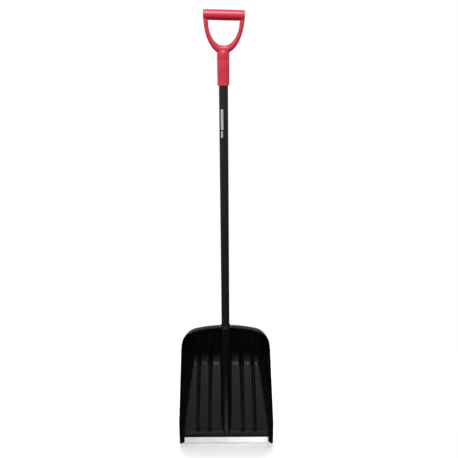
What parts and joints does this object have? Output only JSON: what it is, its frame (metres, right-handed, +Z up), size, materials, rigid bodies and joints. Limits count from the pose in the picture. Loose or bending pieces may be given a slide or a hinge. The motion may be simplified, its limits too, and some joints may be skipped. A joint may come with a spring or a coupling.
{
  "type": "snow shovel",
  "caption": "Long-handled snow shovel: black moulded scoop with ribs and metal wear strip, straight black shaft, red D-grip.",
  "frame": {"origin": "on the floor, under the middle of the upright shovel's bounding box", "axes": "+Z up along the shaft, +X to the right seen from the load side; the scoop's load face looks along -Y"},
  "size_m": [0.3436, 0.0995, 1.4972],
  "materials": {
    "black_plastic": "semi-gloss moulded polypropylene",
    "aluminium": "bare mill finish",
    "black_coat": "satin black powder coat",
    "zinc": "zinc plated",
    "red_plastic": "semi-gloss moulded polypropylene"
  },
  "bodies": {
    "root": {"blade": "black_plastic", "wear_edge": "aluminium", "edge_rivet_1": "aluminium", "edge_rivet_2": "aluminium", "edge_rivet_3": "aluminium", "edge_rivet_4": "aluminium", "edge_rivet_5": "aluminium", "shaft_tube": "black_coat", "blade_screw_lower": "zinc", "blade_screw_upper": "zinc", "grip_screw": "zinc", "d_grip": "red_plastic"}
  },
  "joints": []
}
